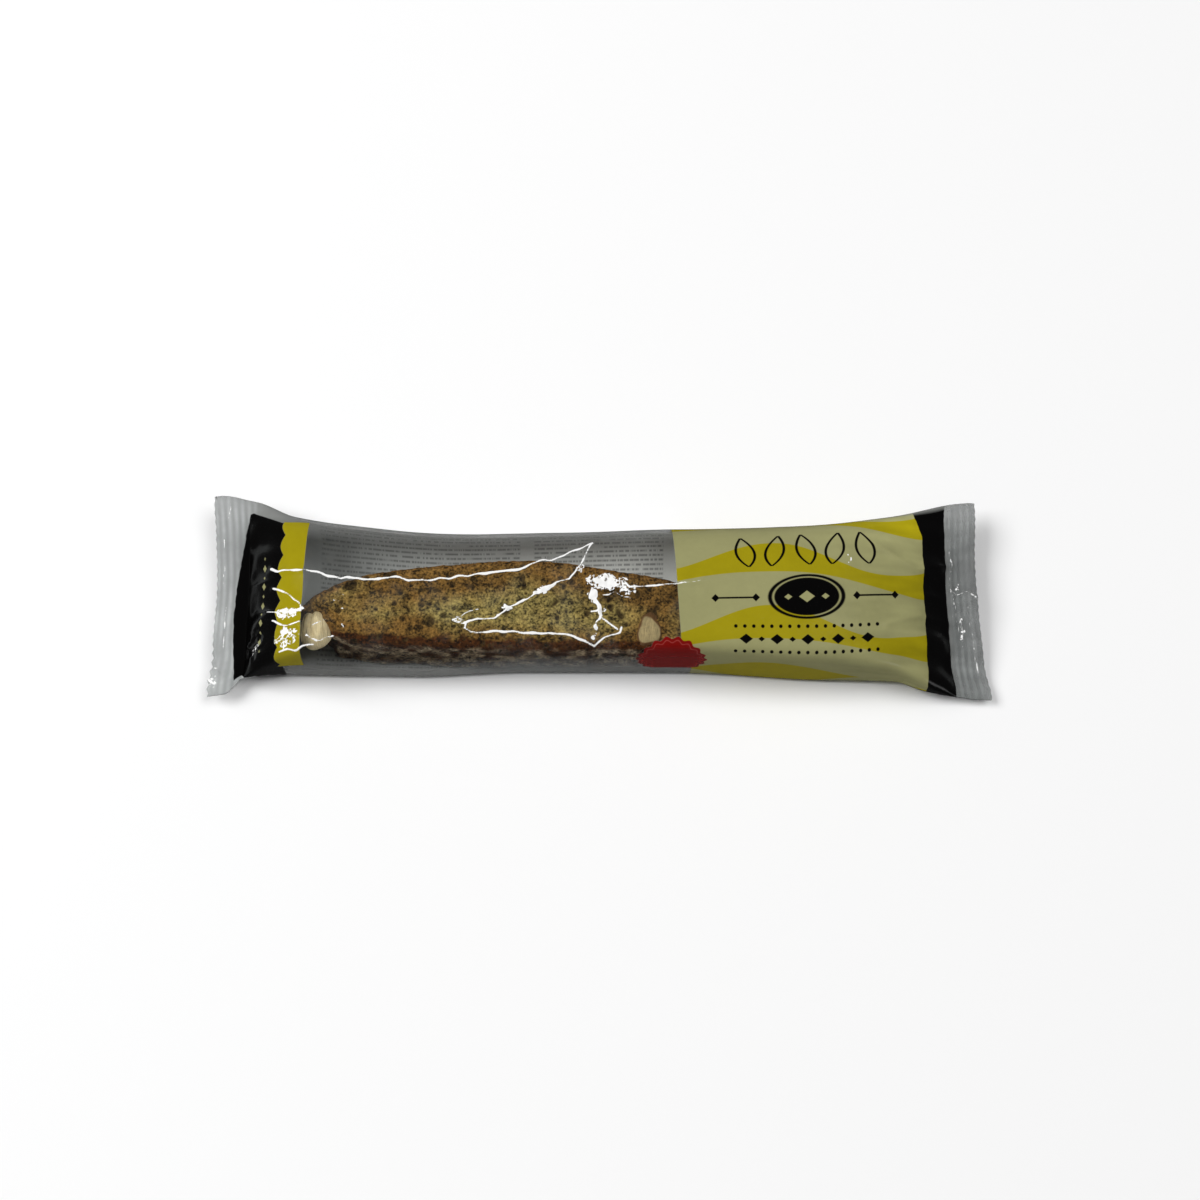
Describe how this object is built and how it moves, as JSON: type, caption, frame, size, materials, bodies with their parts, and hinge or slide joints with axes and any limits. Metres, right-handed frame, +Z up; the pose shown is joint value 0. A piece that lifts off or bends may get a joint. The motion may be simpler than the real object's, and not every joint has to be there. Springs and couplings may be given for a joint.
{
  "type": "wrapped biscotti biscuit",
  "caption": "Long almond biscotto sealed in a clear, printed flow-wrap film pack with crimped zigzag ends, lying with its window up.",
  "frame": {"origin": "middle of the pack's box, on the surface that it lies on", "axes": "+X along the pack from the window's end to the printed panel's end, +Y away from the viewer, +Z up through the window"},
  "size_m": [0.1897, 0.05, 0.02],
  "materials": {
    "film": "clear glossy wrapping film, printed in black, yellow, cream and red, crimped at the ends",
    "biscuit": "dry baked crumb with browned crust and small pores",
    "almond": "pale cut nut, smooth and slightly waxy"
  },
  "bodies": {
    "root": {"biscotti_pack": "film"}
  },
  "joints": []
}
